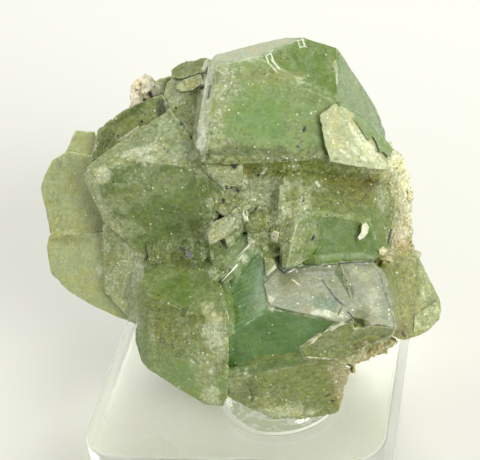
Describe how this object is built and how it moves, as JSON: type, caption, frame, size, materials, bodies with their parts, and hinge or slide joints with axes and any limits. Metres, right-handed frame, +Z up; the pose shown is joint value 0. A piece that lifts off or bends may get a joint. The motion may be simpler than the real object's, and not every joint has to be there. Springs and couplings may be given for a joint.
{
  "type": "mineral specimen",
  "caption": "Cluster of intergrown green herderite crystals on broken cream feldspar, resting on a round clear pad on a square clear display base.",
  "frame": {"origin": "centre of the display base's underside", "axes": "+Z up out of the base, -Y towards the front of the specimen, +X to its right seen from the front"},
  "size_m": [0.0409, 0.034, 0.0426],
  "materials": {
    "herderite": "glassy to frosted, translucent mint to olive green",
    "feldspar": "rough broken cream with brown stain",
    "clear_resin": "clear and glossy",
    "acrylic": "clear and polished"
  },
  "bodies": {
    "root": {"herderite_crystals": "herderite", "feldspar_matrix": "feldspar", "clear_pad": "clear_resin", "acrylic_base": "acrylic"}
  },
  "joints": []
}
